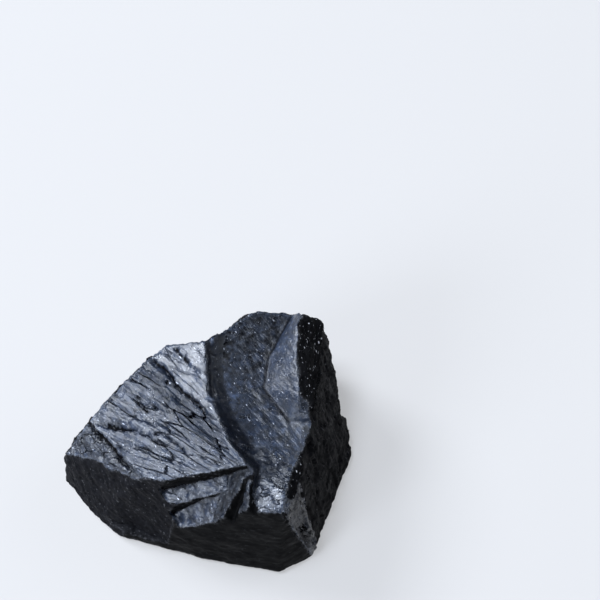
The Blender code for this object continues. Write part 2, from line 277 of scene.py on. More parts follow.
def bowlShape():
    shape = bmesh.new()
    rings = []
    top = bowl["profile"][-1][1]
    for reach, height in bowl["profile"] + [(0.0, top)]:
        ring = []
        for step in range(bowl["steps"] if reach else 1):
            angle = 2 * math.pi * step / bowl["steps"]
            ring.append(shape.verts.new((bowl["axis"][0] + reach * math.cos(angle),
                                         bowl["axis"][1] + reach * math.sin(angle), height)))
        rings.append(ring)
    for lower, upper in zip(rings, rings[1:]):
        for step in range(bowl["steps"]):
            after = (step + 1) % bowl["steps"]
            corners = [lower[step % len(lower)], lower[after % len(lower)],
                       upper[after % len(upper)], upper[step % len(upper)]]
            shape.faces.new(dict.fromkeys(corners))

    def bowlZone(face):
        reach = math.hypot(face.center.x - bowl["axis"][0], face.center.y - bowl["axis"][1])
        return "wall" if reach > bowl["wallReach"] else "bowl"

    return setZone(addShape("bowl", shape), bowlZone)


hump = {
    "foot": [(22.5, 26.0), (16.3, 12.8), (15.3, 3.7), (22.0, -6.0)],
    "footZ": 37.4,
    "crest": [*rimLine, (27.0, 28.0, 43.0)],
    "outside": [(60.0, 30.0, 46.0), (60.0, -10.0, 40.0)],       # it runs on past the block
    "depth": 15.0,
    "footShade": 0.9, "footReach": 0.7,         # how dark and how wide the painted shade in the crease along its foot is
    "footSteepest": 0.3,                        # and it isn't on faces steeper than this
    "shadeFade": [(2.0, 1.35), (20.0, 0.65)],   # (y, how much it is shaded there)
}


def humpShape():
    low = hump["footZ"] - hump["depth"]
    far = hump["outside"] + [(x, y, low) for x, y, _ in hump["outside"]]
    foot = [(x, y, hump["footZ"]) for x, y in hump["foot"]] + [(x, y, low) for x, y in hump["foot"]]
    return setZone(hullOf("hump", hump["crest"] + far + foot), lambda face: "hump")


fan = {
    "tip": (13.1, -21.6, 44.6),
    "grooves": [((8.1, -28.4, 33.9), 3.2, 2.4), ((12.8, -28.4, 39.0), 1.8, 1.8),
                ((4.2, -28.7, 29.6), 1.5, 0.9)],        # (end, width there, depth there)
    "paintedShadeDepth": 1.0,                           # a groove deeper than this is painted dark inside as shade
    "tipSink": 0.1,                             # how deep each groove starts
    "lift": 4.0,                                # how far each groove's cutter stands above the face
    "overrun": 5.0,                             # how far each groove runs past its end
    "foldLine": [(5.0, -22.0), (2.6, -29.6)],   # on the -X side of this line it is broken like the ledges
}


def fanGroove(number, end, width, depth):
    tip = Vector(fan["tip"])
    run = Vector(end) - tip
    along = run.normalized()
    out = outward(*fanFacing)
    grown = 1 + fan["overrun"] / run.length
    beyond = tip + run * grown
    across = along.cross(out).normalized() * width / 2 * (grown + fan["lift"] / depth)
    points = [tip - out * fan["tipSink"], tip + out * fan["lift"], beyond - out * depth * grown,
              beyond + across + out * fan["lift"], beyond - across + out * fan["lift"]]
    inside = "groove" if depth > fan["paintedShadeDepth"] else "fan"
    return setZone(hullOf(f"fanGroove{number}", points), lambda face: inside)


def cutAway(target, cutter):
    step = target.modifiers.new(cutter.name, "BOOLEAN")
    step.operation = "DIFFERENCE"
    step.solver = "EXACT"
    step.object = cutter
    cutter.hide_render = True
    cutter.display_type = "WIRE"


def brokenBlock():
    stone = wholeBlock()
    for name, faces in chips.items():
        cutAway(stone, chipShape(name, faces))
    hollow = bowlShape()
    cutAway(hollow, humpShape())
    cutAway(stone, hollow)
    for number, (end, width, depth) in enumerate(fan["grooves"]):
        cutAway(stone, fanGroove(number, end, width, depth))
    print("block broken by", len(chips), "chips, a bowl and", len(fan["grooves"]), "grooves")
    return stone


def evaluatedMesh(thing):
    graph = bpy.context.evaluated_depsgraph_get()
    return bpy.data.meshes.new_from_object(thing.evaluated_get(graph), depsgraph=graph)


skin = {
    "cell": 0.455,              # size of the fine skin's cells
    "sameDecimals": 4,          # points that are the same to so many decimals fall together
    "flatAngle": 1.0,           # degrees between two faces that still make one flat face
    "sharpEdge": 22.0,          # degrees between two faces that make an edge of the stone
    "edgeStep": 0.25,           # between the points that mark such an edge
    "plainSides": ("front", "rightSide"),       # an edge inside one of these isn't marked
    "calmHeight": 3.0,          # the relief dies out over this height above the seat
    "seatSnap": 0.05,
    "lumpSize": 9.0,
    "lumpHeight": 0.45,
    "warps": [(6.0, 0.40), (2.0, 0.20)],        # (size, shift) of the waviness of the edges
    "nickSize": 2.2,
    "nickGain": 2.2, "nickLeast": 0.1,          # how sharply a nick begins, and how much of it is lost
    "nickDepth": 0.38,
    "nickReach": 0.9,
    "edgeCalm": 0.6,            # how much of the relief is lost right at an outward edge
    "edgeReach": 1.1,
    "wornReach": 0.45,          # how far from an edge it is worn pale
    "unworn": ("wall", "brow", "groove"),       # edges of these stay dark
    "blend": 2,                 # passes that soften the change from one zone to the next
    "warpBlend": 6, "silkyBlend": 3, "wornBlend": 1, "shadeBlend": 5,
}
plateLine = [(-12.1, 10.1), (-9.3, 5.8), (-6.9, 2.5), (-3.4, -0.7), (0.0, -4.7)]
upperPlate = {      # the smooth plate above its edge, and the rough band below it
    "edge": [(-19.0, 16.5), *plateLine, (4.0, -8.5)],
    "calm": 0.24,
    "bandMiddle": 3.0,          # how far the band's middle is from the edge
    "bandWidth": 7.0,
    "bandRough": 1.7,
    "bandShade": 0.30,
}
flute = {
    "origin": (38.0, -46.0),    # the flutes spread out from above this point
    "reach": 62.0,              # they have their true width this far from it
    "drawn": 8.0,
    "upright": 0.2,             # how much height counts against their width
}
darkStreak = {      # the streaks of a streaky zone
    "size": 1.6,
    "bar": 0.7, "give": 1.3,    # noise above the bar is a streak, and a streaky zone has a lower bar
    "hardness": 3.0,
    "shade": 0.85,
}
noiseCells = 1.6                    # cells of plain noise in one lump of the size asked for
noiseShift = (1.0, 0.37, -1.0)      # the way that a seed moves the noise
seeds = {"lump": 1.0, "nick": 11.0, "wander": (21.0, 31.0), "warp": (41.0, 61.0, 81.0), "glint": 51.0,
         "darkStreak": 71.0, "mottle": 91.0}

# Cracks and plate edges on the slope: the points in plan, how deep, how wide, and how far the stone steps up
# on the left of the line as it runs.
cracks = {
    "wedge": ([(-33.3, -3.0), (-30.4, -6.1), (-28.2, -7.9), (-26.3, -10.2),
               (-24.8, -12.1), (-22.6, -15.0), (-21.4, -16.0), (-18.5, -18.3)], 1.6, 0.62, 0.0),
    "longCrack": ([(-30.4, -2.6), (-25.0, -5.0), (-17.9, -7.4), (-14.9, -9.2),
                   (-11.5, -11.6)], 1.3, 0.42, 0.5),
    "lowerCrack": ([(-12.0, -8.0), (-7.5, -12.5), (-3.5, -17.0)], 0.9, 0.28, 0.3),
    "plateEdge": ([(-17.0, 15.0), *plateLine, (2.6, -7.0)], 0.7, 0.34, 0.9),
    "upperPlate": ([(-13.1, 16.0), (-8.5, 12.4), (-4.7, 9.3), (-0.8, 5.4)], 0.5, 0.45, 0.5),
    "upperCrack": ([(-9.4, 15.6), (-6.8, 12.1), (-4.7, 9.6)], 0.7, 0.25, 0.0),
    "backCrack": ([(-19.2, 12.4), (-16.0, 9.1)], 0.6, 0.40, 0.3),
    "midCrack": ([(-20.3, 2.4), (-17.1, -1.0), (-14.5, -2.8)], 0.8, 0.28, 0.3),
}
crackForm = {
    "wander": [(2.5, 0.45), (0.9, 0.25)],       # (size, shift) of the wandering of every crack
    "deepen": (9.0, 6.0),                       # how quickly a crack deepens from its start and from its end
    "widen": [(4.0, 0.4), (1.8, 0.3)],          # how quickly it widens from each, and how slim it begins
    "thinnest": 0.34,                           # no crack is thinner than this
    "stepReach": 3.5, "stepShare": 0.5,         # how far a step reaches, and its share on each side
    "paintedShadeDepth": 0.65,                          # a crack deeper than this has a dull black core of painted shade
    "crackShadeDull": 0.85,
}


def vertexArray(mesh, what="co"):
    values = np.empty(len(mesh.vertices) * 3)
    if what == "co":
        mesh.vertices.foreach_get("co", values)
    else:
        mesh.vertex_normals.foreach_get("vector", values)
    return values.reshape(-1, 3)


def noiseAt(places, size, seed):
    shift = Vector([seed * way for way in noiseShift])
    return np.array([noise.noise(Vector(place) + shift) for place in places * (noiseCells / size)])


def edgeTree(plain, without=()):
    # points along the stone's sharp outward edges, but for those of some zones
    shape = bmesh.new()
    shape.from_mesh(plain)
    bmesh.ops.dissolve_limit(shape, angle_limit=math.radians(skin["flatAngle"]), verts=shape.verts,
                             edges=shape.edges)
    layer = shape.faces.layers.int[zoneLayer]
    plainSides = [zoneNames.index(name) for name in skin["plainSides"]]
    left = {zoneNames.index(name) for name in without}
    shape.normal_update()
    places = []
    for edge in shape.edges:
        if len(edge.link_faces) != 2 or not edge.is_convex:
            continue
        if edge.calc_face_angle(0.0) < math.radians(skin["sharpEdge"]):
            continue
        if all(face[layer] == edge.link_faces[0][layer] in plainSides for face in edge.link_faces):
            continue
        if left & {face[layer] for face in edge.link_faces}:
            continue
        start, end = (corner.co for corner in edge.verts)
        steps = max(1, int((end - start).length / skin["edgeStep"]))
        places += [start.lerp(end, step / steps) for step in range(steps + 1)]
    shape.free()
    tree = KDTree(len(places))
    for number, place in enumerate(places):
        tree.insert(place, number)
    tree.balance()
    return tree


def nearTree(tree, places):
    return np.array([tree.find(place)[2] for place in places])


def softened(values, edges, passes):
    # averages each point's value with its neighbours'
    values = values.astype(float)
    for _ in range(passes):
        total = values.copy()
        count = np.ones(len(values))
        for a, b in ((0, 1), (1, 0)):
            np.add.at(total, edges[:, a], values[edges[:, b]])
            np.add.at(count, edges[:, a], 1.0)
        values = total / count.reshape([-1] + [1] * (values.ndim - 1))
    return values


def alongLine(points, places):
    # for each place in plan: how far it is from the line, 1 on its left or -1 on its right, and how far
    # along the line it lies, from 0 to 1
    best = np.full(len(places), np.inf)
    side = np.zeros(len(places))
    share = np.zeros(len(places))
    lengths = [math.dist(a, b) for a, b in zip(points, points[1:])]
    done = 0.0
    for (start, end), length in zip(zip(points, points[1:]), lengths):
        start = np.array(start)
        along = (np.array(end) - start) / length
        off = places - start
        run = np.clip(off @ along, 0.0, length)
        gap = off - run[:, None] * along
        reach = np.hypot(gap[:, 0], gap[:, 1])
        cross = along[0] * off[:, 1] - along[1] * off[:, 0]
        closer = reach < best
        best = np.where(closer, reach, best)
        side = np.where(closer, np.sign(cross), side)
        share = np.where(closer, (done + run) / sum(lengths), share)
        done += length
    return best, side, share


def grainPlaces(places, zone):
    # the place of each point with the zone's grain squeezed short, so that plain noise there runs along it
    result = places.copy()
    for number, name in enumerate(zoneNames):
        mine = zone == number
        if name == "slope":
            off = places[mine, :2] - np.array(flute["origin"])
            reach = np.hypot(off[:, 0], off[:, 1])
            angle = np.arctan2(off[:, 1], off[:, 0])
            result[mine] = np.stack([angle * flute["reach"], reach / flute["drawn"],
                                     places[mine, 2] * flute["upright"]], 1)
            continue
        grain = np.array(zones[name]["grain"], float)
        grain /= np.linalg.norm(grain)
        squeeze = 1 - 1 / zones[name]["drawn"]
        result[mine] -= squeeze * (places[mine] @ grain)[:, None] * grain
    return result


def setAttribute(mesh, name, values):
    kind = "FLOAT_VECTOR" if values.ndim == 2 else "FLOAT"
    layer = mesh.attributes.new(name, kind, "POINT")
    layer.data.foreach_set("vector" if values.ndim == 2 else "value", values.astype(np.float32).ravel())


def zoneWeight(zone, name, edges, usual=0.0, passes=skin["blend"]):
    weights = np.array([zones[zoneName].get(name, usual) for zoneName in zoneNames])
    return softened(weights[zone], edges, passes)


def followingWeight(zone, name, other, edges):
    # goes with the other weight, but where the zone says otherwise
    weights = np.array([zones[zoneName].get(name, zones[zoneName][other]) for zoneName in zoneNames])
    return softened(weights[zone], edges, skin["blend"])


def inZone(zone, *names):
    return np.isin(zone, [zoneNames.index(name) for name in names])


def fineSkin(broken):
    # a fine even skin over the broken block, and at each of its points the zone and facing of the face below
    plain = evaluatedMesh(broken)
    plainZone = np.empty(len(plain.polygons), int)
    plain.attributes[zoneLayer].data.foreach_get("value", plainZone)
    faces = BVHTree.FromPolygons([corner.co for corner in plain.vertices],
                                 [face.vertices for face in plain.polygons])
    fine = broken.modifiers.new("skin", "REMESH")
    fine.mode = "VOXEL"
    fine.voxel_size = skin["cell"]
    mesh = evaluatedMesh(broken)
    places = vertexArray(mesh)
    nearest = [faces.find_nearest(Vector(place)) for place in places]
    zone = plainZone[[found[2] for found in nearest]]
    facing = np.array([found[1] for found in nearest])
    edges = np.empty(len(mesh.edges) * 2, int)
    mesh.edges.foreach_get("vertices", edges)
    edges = edges.reshape(-1, 2)
    print("skin laid over", len(plain.polygons), "faces:", len(places), "points")

    # where two of its points fall together they are drawn apart, each towards its own neighbours
    _, spot, count = np.unique(np.round(places, skin["sameDecimals"]), axis=0, return_inverse=True,
                               return_counts=True)
    doubled = (count[spot.ravel()] > 1)[:, None]
    places = np.where(doubled, softened(places, edges, 1), places)
    return plain, mesh, edges, places, zone, facing


def bowlReach(places):
    # how far each point is from the bowl's axis in plan
    return np.hypot(places[:, 0] - bowl["axis"][0], places[:, 1] - bowl["axis"][1])


def roundedBowl(places, zone, facing, edges):
    inside = ((bowlReach(places) < bowl["calmReach"]) & (places[:, 1] > bowl["frontY"])
              & (places[:, 2] > bowl["lowestZ"]) & (facing[:, 2] > bowl["steepest"]) & ~inZone(zone, "hump"))
    rounded = places
    for _ in range(bowl["smoothing"]):
        rounded = np.where(inside[:, None], softened(rounded, edges, 1), places)
    return rounded


def placedZones(places, zone):
    # some zones go by where a point lies, and not by its face alone
    corners = block["glintEdge"]
    line = np.concatenate([np.linspace(a, b, block["glintSteps"]) for a, b in zip(corners, corners[1:])])
    reach = np.min([np.linalg.norm(places - point, axis=1) for point in line], 0)
    ragged = noiseAt(places * (1, 1, 1 / block["glintDrawn"]), block["glintSize"], seeds["glint"])
    glinting = inZone(zone, "rightSide") & (reach + block["glintRagged"] * ragged < block["glintReach"])
    zone = np.where(glinting, zoneNames.index("glint"), zone)
    _, side, _ = alongLine(fan["foldLine"], places[:, :2])
    zone = np.where(inZone(zone, "fan") & (side < 0), zoneNames.index("ledge"), zone)
    shaded = inZone(zone, "brow") & (places[:, 1] < block["browFrontY"])
    return np.where(shaded, zoneNames.index("wall"), zone)


def crackedPush(push, places, zone, edges, onSlope):
    # opens the cracks in the push given, and says how far each point lies in a crack's dull black core of
    # painted shade
    onTop = softened(inZone(zone, "slope", "leftFacet", "riser"), edges, 1)
    wander = np.zeros((len(places), 2))
    for turn, (size, height) in enumerate(crackForm["wander"]):
        wander += height * np.stack([noiseAt(places, size, seed + turn) for seed in seeds["wander"]], 1)
    (deepenFirst, deepenLast), (widenFirst, widenLast) = crackForm["deepen"], crackForm["widen"]
    crackShade = np.zeros(len(places))
    for name, (points, depth, width, step) in cracks.items():
        gap, side, share = alongLine(points, places[:, :2] + wander)
        taper = np.clip(deepenFirst * share, 0, 1) * np.clip(deepenLast * (1 - share), 0, 1)
        slim = (np.clip(widenFirst[0] * share, widenFirst[1], 1)
                * np.clip(widenLast[0] * (1 - share), widenLast[1], 1))
        groove = np.exp(-(gap / np.maximum(width * slim, crackForm["thinnest"])) ** 2) * taper
        groove *= onTop if name == "wedge" else onSlope
        push = push - depth * groove
        rise = step * side * np.exp(-gap / crackForm["stepReach"]) * taper * onSlope
        push += rise * crackForm["stepShare"]
        crackShade = np.maximum(crackShade, groove * (depth > crackForm["paintedShadeDepth"]))
    return push, crackShade


def slopeBand(places, onSlope):
    # how rough the slope is, calm above the upper plate's edge, and how dark the rough band below it is
    gap, side, _ = alongLine(upperPlate["edge"], places[:, :2])
    band = np.exp(-((gap - upperPlate["bandMiddle"]) / upperPlate["bandWidth"] * 2) ** 2)
    dark = upperPlate["bandShade"] * band * (side < 0) * onSlope
    band = 1 + (upperPlate["bandRough"] - 1) * band
    return np.where(side > 0, upperPlate["calm"], band) * onSlope + 1 - onSlope, dark


def bowlLooks(places, zone):
    # the painted light and shade of the bowl and the hump from place to place, with the bowl's mottled
    # patches, and 1 elsewhere
    y = places[:, 1]
    highlightStrip = np.exp(-((bowlReach(places) - bowl["stripReach"]) / bowl["stripWidth"]) ** 2
                   - ((y - bowl["stripY"]) / bowl["stripLength"]) ** 2)
    mottled = sum(strength * noiseAt(places, size, seeds["mottle"]) for size, strength in bowl["mottle"])
    light = np.interp(y, *zip(*bowl["shadingFade"])) * (1 + bowl["stripHighlight"] * highlightStrip)
    light *= np.clip(1 + mottled, *bowl["lightSpan"])
    shaded = np.interp(y, *zip(*bowl["shadeFade"])) * np.clip(1 - mottled, *bowl["shadeSpan"])
    shaded = np.where(inZone(zone, "bowl"), shaded, 1.0)
    shaded = np.where(inZone(zone, "hump"), np.interp(y, *zip(*hump["shadeFade"])), shaded)
    return np.where(inZone(zone, "bowl"), light, 1.0), shaded


def streakShade(places, zone, edges):
    # dark streaks run along the grain where a zone is streaky
    bar = darkStreak["bar"] - darkStreak["give"] * zoneWeight(zone, "streaky", edges)
    over = noiseAt(grainPlaces(places, zone), darkStreak["size"], seeds["darkStreak"]) - bar
    return darkStreak["shade"] * np.clip(darkStreak["hardness"] * over, 0, 1)


def footCreaseShade(places, facing):
    # the painted shade in the crease along the hump's foot
    gap, _, _ = alongLine(hump["foot"], places[:, :2])
    crease = hump["footShade"] * np.exp(-(gap / hump["footReach"]) ** 2)
    return crease * (facing[:, 2] > hump["footSteepest"])


def skinnedStone(broken):
    # the stone with a fine even skin, its edges made uneven and its cracks opened
    plain, mesh, edges, places, zone, facing = fineSkin(broken)
    places = roundedBowl(places, zone, facing, edges)
    zone = placedZones(places, zone)
    ridgeGap = nearTree(edgeTree(plain), places)
    wornGap = nearTree(edgeTree(plain, skin["unworn"]), places)
    normals = vertexArray(mesh, "normal")
    calm = np.clip(places[:, 2] / skin["calmHeight"], 0, 1)
    calm = calm * calm * (3 - 2 * calm)
    onSlope = softened(inZone(zone, "slope"), edges, 1)

    push = zoneWeight(zone, "lump", edges) * skin["lumpHeight"]
    push = push * noiseAt(places, skin["lumpSize"], seeds["lump"])
    nicks = noiseAt(places, skin["nickSize"], seeds["nick"]) * skin["nickGain"] - skin["nickLeast"]
    push -= skin["nickDepth"] * np.clip(nicks, 0, 1) * np.exp(-(ridgeGap / skin["nickReach"]) ** 2)
    push, crackShade = crackedPush(push, places, zone, edges, onSlope)
    shift = np.zeros_like(places)
    for size, height in skin["warps"]:
        shift += height * np.stack([noiseAt(places, size, seed + size) for seed in seeds["warp"]], 1)
    shift *= zoneWeight(zone, "warp", edges, 1.0, skin["warpBlend"])[:, None]
    places = places + (normals * push[:, None] + shift) * calm[:, None]
    places[:, 2] = np.where(places[:, 2] < skin["seatSnap"], 0.0, places[:, 2])
    mesh.vertices.foreach_set("co", places.ravel())
    mesh.update()

    # what the relief reads
    rough, bandShade = slopeBand(places, onSlope)
    rough *= 1 - skin["edgeCalm"] * np.exp(-(ridgeGap / skin["edgeReach"]) ** 2)
    setAttribute(mesh, "grainPlace", grainPlaces(places, zone))
    for name in ("ridge", "plate", "lump"):
        setAttribute(mesh, name, zoneWeight(zone, name, edges) * calm * rough)
    for name, other in (("sliver", "plate"), ("streak", "ridge")):
        setAttribute(mesh, name, followingWeight(zone, name, other, edges) * calm * rough)

    # what the finishes read
    light, shaded = bowlLooks(places, zone)
    # the bowl's tone carries its painted shading and its painted highlight strip
    setAttribute(mesh, "tone", zoneWeight(zone, "tone", edges, 1.0) * light)
    for name in ("fleck", "dash"):
        setAttribute(mesh, name, zoneWeight(zone, name, edges, 1.0))
    # crack cores take the dull finish as painted shade
    silky = zoneWeight(zone, "silky", edges, 0.0, skin["silkyBlend"])
    setAttribute(mesh, "silky", silky * (1 - np.clip(crackForm["crackShadeDull"] * crackShade, 0, 1)))
    worn = zoneWeight(zone, "worn", edges, 1.0, skin["wornBlend"])
    setAttribute(mesh, "worn", np.exp(-(wornGap / skin["wornReach"]) ** 2) * worn)
    # the shade attribute gathers what darkens the stone: painted shade in crack cores, the hump's foot
    # crease and shaded zones, with dark streaks and the slope's dark band
    shade = zoneWeight(zone, "shade", edges, 0.0, skin["shadeBlend"]) * shaded
    setAttribute(mesh, "shade", np.max([crackShade, footCreaseShade(places, facing), shade,
                                        streakShade(places, zone, edges), bandShade], 0))
    thing = bpy.data.objects.new("agateSkin", mesh)
    bpy.context.collection.objects.link(thing)
    print("edges worn, cracks opened:", len(cracks))
    return thing


def addNode(tree, kind, place, settings=None, values=None, links=None):
    node = tree.nodes.new(kind)
    node.location = place
    for name, value in (settings or {}).items():
        setattr(node, name, value)
    for name, value in (values or {}).items():
        node.inputs[name].default_value = value
    for name, source in (links or {}).items():
        tree.links.new(source, node.inputs[name])
    return node


def feed(tree, socket, value):
    # a number or a vector is set on the socket, anything else is linked to it
    if isinstance(value, bpy.types.NodeSocket):
        tree.links.new(value, socket)
    elif value is not None:
        socket.default_value = value


def mathNode(tree, place, operation, first, second=None, third=None):
    node = addNode(tree, "ShaderNodeMath", place, {"operation": operation})
    for socket, value in zip(node.inputs, (first, second, third)):
        feed(tree, socket, value)
    return node.outputs[0]


def vectorNode(tree, place, operation, first, second=None, scale=None):
    node = addNode(tree, "ShaderNodeVectorMath", place, {"operation": operation})
    feed(tree, node.inputs[0], first)
    feed(tree, node.inputs[1], second)
    if scale is not None:
        feed(tree, node.inputs["Scale"], scale)
    return node.outputs["Value" if operation == "DOT_PRODUCT" else "Vector"]


def shrunk(tree, place, vector, size):
    # the vector measured in units of the size
    units = mathNode(tree, (place[0] - 180, place[1]), "DIVIDE", 1.0, size)
    return vectorNode(tree, place, "SCALE", vector, scale=units)


def noiseSpan(tree, place, vector, size, seed, detail=2.0, roughness=0.55):
    # noise between about -1 and 1
    column, row = place
    spot = shrunk(tree, (column, row), vector, size)
    node = addNode(tree, "ShaderNodeTexNoise", (column + 180, row), {"noise_dimensions": "4D"},
                   {"Scale": 1.0, "Detail": detail, "Roughness": roughness}, {"Vector": spot})
    feed(tree, node.inputs["W"], seed)
    return mathNode(tree, (column + 360, row), "MULTIPLY_ADD", node.outputs[0], 2.0, -1.0)


def drifted(tree, place, spot, drift, noiseValues):
    # the spot moved about by up to half the drift
    column, row = place
    colour = addNode(tree, "ShaderNodeTexNoise", (column, row - 160), None, noiseValues,
                     {"Vector": spot}).outputs["Color"]
    turn = vectorNode(tree, (column + 180, row - 160), "SUBTRACT", colour, (0.5, 0.5, 0.5))
    turn = vectorNode(tree, (column + 360, row - 160), "SCALE", turn, scale=drift)
    return vectorNode(tree, (column + 540, row), "ADD", spot, turn)


def tiltedPlates(tree, place, vector, size, seed, lean, step, drift):
    # broken plates with sharp borders: each lies at its own height and leans its own way
    column, row = place
    spot = shrunk(tree, (column, row), vector, size)
    spot = drifted(tree, (column + 180, row), spot, drift, {"Scale": 1.3, "Detail": 2.0})
    cells = addNode(tree, "ShaderNodeTexVoronoi", (column + 900, row),
                    {"voronoi_dimensions": "4D", "feature": "F1"}, {"Scale": 1.0}, {"Vector": spot})
    feed(tree, cells.inputs["W"], seed)
    slant = vectorNode(tree, (column + 1080, row), "SUBTRACT", cells.outputs["Color"], (0.5, 0.5, 0.5))
    inside = vectorNode(tree, (column + 1080, row - 160), "SUBTRACT", spot, cells.outputs["Position"])
    leaning = vectorNode(tree, (column + 1260, row), "DOT_PRODUCT", inside, slant)
    level = vectorNode(tree, (column + 1260, row - 160), "DOT_PRODUCT", slant, (1.0, 0.0, 0.0))
    level = mathNode(tree, (column + 1440, row - 160), "MULTIPLY", level, step)
    return mathNode(tree, (column + 1620, row), "MULTIPLY_ADD", leaning, lean, level)


crackNet = {
    "drift": 0.55,              # how far the net wanders, against the size of its cells
    "openSize": 0.9,            # size of the noise that opens it, against the same
    "openBand": 0.10,           # it opens over this much noise above the bar
}


def crackLines(tree, place, vector, size, width, bar):
    # 1 along a wandering net of cracks, open only where a noise is over the bar
    column, row = place
    spot = shrunk(tree, (column, row), vector, size)
    wandering = drifted(tree, (column + 180, row), spot, crackNet["drift"],
                        {"Scale": 1.6, "Detail": 4.0, "Roughness": 0.6})
    net = addNode(tree, "ShaderNodeTexVoronoi", (column + 900, row),
                  {"voronoi_dimensions": "3D", "feature": "DISTANCE_TO_EDGE"}, {"Scale": 1.0},
                  {"Vector": wandering})
    line = addNode(tree, "ShaderNodeMapRange", (column + 1080, row), None,
                   {"From Min": 0.0, "From Max": width, "To Min": 1.0, "To Max": 0.0},
                   {"Value": net.outputs["Distance"]}).outputs[0]
    over = noiseSpan(tree, (column + 180, row - 400), spot, crackNet["openSize"], seed=12.0, detail=1.0)
    opened = addNode(tree, "ShaderNodeMapRange", (column + 1080, row - 400), None,
                     {"From Min": bar, "From Max": bar + crackNet["openBand"]}, {"Value": over}).outputs[0]
    return mathNode(tree, (column + 1260, row), "MULTIPLY", line, opened)


relief = {      # millimetres across the grain, and heights
    "Broad size": 5.0, "Broad height": 0.48,
    "Ridge size": 2.0, "Ridge height": 0.36,
    "Fine size": 0.9, "Fine height": 0.13,
    "Plate size": 3.0, "Plate lean": 1.5, "Plate step": 0.55,
    "Chip size": 1.5, "Chip lean": 0.8, "Chip step": 0.20,
    "Lump size": 2.6, "Lump height": 0.16,
    "Seed": 3.0,
}


def reliefTree(silky, dullShaded):
    tree = bpy.data.node_groups.new("stoneRelief", "GeometryNodeTree")
    tree.interface.new_socket("Geometry", in_out="INPUT", socket_type="NodeSocketGeometry")
    for name, value in relief.items():
        tree.interface.new_socket(name, in_out="INPUT", socket_type="NodeSocketFloat").default_value = value
    tree.interface.new_socket("Geometry", in_out="OUTPUT", socket_type="NodeSocketGeometry")
    given = addNode(tree, "NodeGroupInput", (-1800, 0)).outputs

    def attribute(name, kind, place):
        node = addNode(tree, "GeometryNodeInputNamedAttribute", place, {"data_type": kind}, {"Name": name})
        return node.outputs["Attribute"]

    def waves(row, vector, name, detail=2.0):
        span = noiseSpan(tree, (-1400, row), vector, given[name + " size"], given["Seed"], detail)
        return mathNode(tree, (0, row), "MULTIPLY", span, given[name + " height"])

    def plates(row, name):
        return tiltedPlates(tree, (-1400, row), grain, given[name + " size"], given["Seed"],
                            given[name + " lean"], given[name + " step"], drift=0.44)

    def weighted(place, value, name):
        # less of it where the attribute is small
        column, row = place
        return mathNode(tree, place, "MULTIPLY", value, attribute(name, "FLOAT", (column - 180, row - 200)))

    grain = attribute("grainPlace", "FLOAT_VECTOR", (-1800, 400))
    place = addNode(tree, "GeometryNodeInputPosition", (-1800, 600)).outputs[0]
    ridges = mathNode(tree, (400, 900), "ADD", waves(1200, grain, "Broad"), waves(900, grain, "Ridge"))
    ridges = mathNode(tree, (580, 900), "ADD", ridges, waves(600, grain, "Fine", detail=1.0))
    ridges = weighted((760, 900), ridges, "ridge")
    broken = mathNode(tree, (760, 0), "ADD", weighted((580, 0), plates(300, "Plate"), "plate"),
                      weighted((580, -400), plates(-200, "Chip"), "sliver"))
    lumps = weighted((760, -700), waves(-700, place, "Lump"), "lump")
    total = mathNode(tree, (1120, 400), "ADD", mathNode(tree, (940, 400), "ADD", ridges, broken), lumps)

    normal = addNode(tree, "GeometryNodeInputNormal", (1120, 200)).outputs[0]
    offset = vectorNode(tree, (1300, 300), "SCALE", normal, scale=total)
    moved = addNode(tree, "GeometryNodeSetPosition", (1480, 300),
                    links={"Geometry": given["Geometry"], "Offset": offset})
    real = addNode(tree, "GeometryNodeRealizeInstances", (1660, 300), links={0: moved.outputs[0]})
    sides = addNode(tree, "GeometryNodeSetMaterial", (1840, 300), values={"Material": dullShaded},
                    links={"Geometry": real.outputs[0]})
    shiny = addNode(tree, "FunctionNodeCompare", (1840, 0),
                    {"data_type": "FLOAT", "operation": "GREATER_THAN"}, {1: 0.5},
                    {0: attribute("silky", "FLOAT", (1660, 0))})
    tops = addNode(tree, "GeometryNodeSetMaterial", (2020, 300), values={"Material": silky},
                   links={"Geometry": sides.outputs[0], "Selection": shiny.outputs[0]})
    addNode(tree, "NodeGroupOutput", (2200, 300), links={0: tops.outputs[0]})
    return tree


def fitToBox(mesh, low, high):
    # sets the stone in metres, just filling the frame's box
    places = vertexArray(mesh) * metresPerMm
    mine = places.min(0), places.max(0)
    low, high = np.array(low), np.array(high)
    scale = (high - low) / (mine[1] - mine[0])
    print("fitted by", [round(float(value), 4) for value in scale])
    places = low + (places - mine[0]) * scale
    mesh.vertices.foreach_set("co", places.ravel())
    mesh.update()


def carvedStone(rough, silky, dullShaded):
    tree = reliefTree(silky, dullShaded)
    carving = rough.modifiers.new("relief", "NODES")
    carving.node_group = tree
    for item in tree.interface.items_tree:
        if item.in_out == "INPUT" and item.name in relief:
            carving[item.identifier] = relief[item.name]
    mesh = evaluatedMesh(rough)
    mesh.name = "agateStone"
    rough.modifiers.remove(carving)
    fitToBox(mesh, *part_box("agate"))
    mesh.shade_smooth()
    stone = bpy.data.objects.new("agateStone", mesh)
    bpy.context.collection.objects.link(stone)
    for thing in list(bpy.data.objects):
        if thing.type == "MESH" and thing is not stone and "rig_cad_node" not in thing:
            bpy.data.objects.remove(thing)
    return stone


